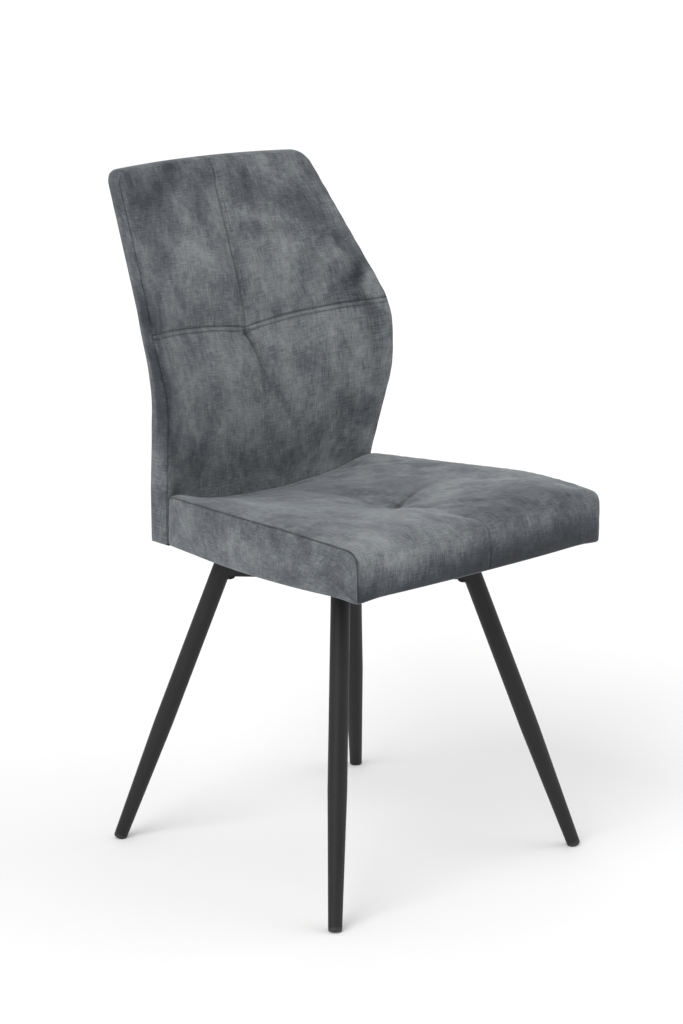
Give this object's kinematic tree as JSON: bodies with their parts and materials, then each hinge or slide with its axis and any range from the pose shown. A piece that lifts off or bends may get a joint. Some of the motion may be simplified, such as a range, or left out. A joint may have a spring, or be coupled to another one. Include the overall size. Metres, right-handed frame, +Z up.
{
  "type": "dining chair",
  "caption": "Armless dining chair with a padded seat, a winged and waisted padded back, and splayed tapered round metal legs on a cross frame.",
  "frame": {"origin": "on the floor, under the middle of the overall width and depth", "axes": "+Z up, the sitter faces -Y, left and right are the sitter's, so +X is left"},
  "size_m": [0.4594, 0.569, 0.913],
  "materials": {
    "powder_coat": "matt fine-textured powder coat",
    "black_plastic": "moulded, matt",
    "black_steel": "blackened",
    "zinc_steel": "zinc plated",
    "plywood": "raw plywood",
    "foam": "open-cell foam",
    "black_nonwoven": "thin nonwoven cloth",
    "tie_cord": "twisted cord",
    "grey_fabric": "mottled suede-look velvet"
  },
  "bodies": {
    "root": {"leg_front_left": "powder_coat", "leg_front_right": "powder_coat", "leg_rear_left": "powder_coat", "leg_rear_right": "powder_coat", "glide_front_left": "black_plastic", "glide_front_right": "black_plastic", "glide_rear_left": "black_plastic", "glide_rear_right": "black_plastic", "cross_bar_long": "powder_coat", "cross_bar_front_right": "powder_coat", "cross_bar_rear_left": "powder_coat", "weld_beads": "powder_coat", "mount_plate_front_left": "powder_coat", "mount_plate_front_right": "powder_coat", "mount_plate_rear_left": "powder_coat", "mount_plate_rear_right": "powder_coat", "spacer_front_left": "black_plastic", "spacer_front_right": "black_plastic", "spacer_rear_left": "black_plastic", "spacer_rear_right": "black_plastic", "frame_bolts": "black_steel", "frame_washers": "zinc_steel", "seat_board": "plywood", "seat_tee_nuts": "zinc_steel", "seat_foam": "foam", "seat_cover_top": "grey_fabric", "seat_band_left": "grey_fabric", "seat_band_right": "grey_fabric", "seat_hem_strip": "black_nonwoven", "seat_dust_cover": "black_nonwoven", "staples": "zinc_steel", "seat_tuft_tie": "tie_cord", "back_board": "plywood", "back_foam_front": "foam", "back_foam_rear": "foam", "back_panel_upper_left": "grey_fabric", "back_panel_upper_right": "grey_fabric", "back_panel_lower_left": "grey_fabric", "back_panel_lower_right": "grey_fabric", "back_band_left": "grey_fabric", "back_band_right": "grey_fabric", "back_cover_rear": "grey_fabric", "back_bottom_cover": "black_nonwoven", "back_tuft_tie": "tie_cord", "back_tee_nuts": "zinc_steel", "bracket_left": "powder_coat", "bracket_right": "powder_coat", "bracket_seat_bolts": "black_steel", "bracket_back_bolts": "black_steel"}
  },
  "joints": []
}
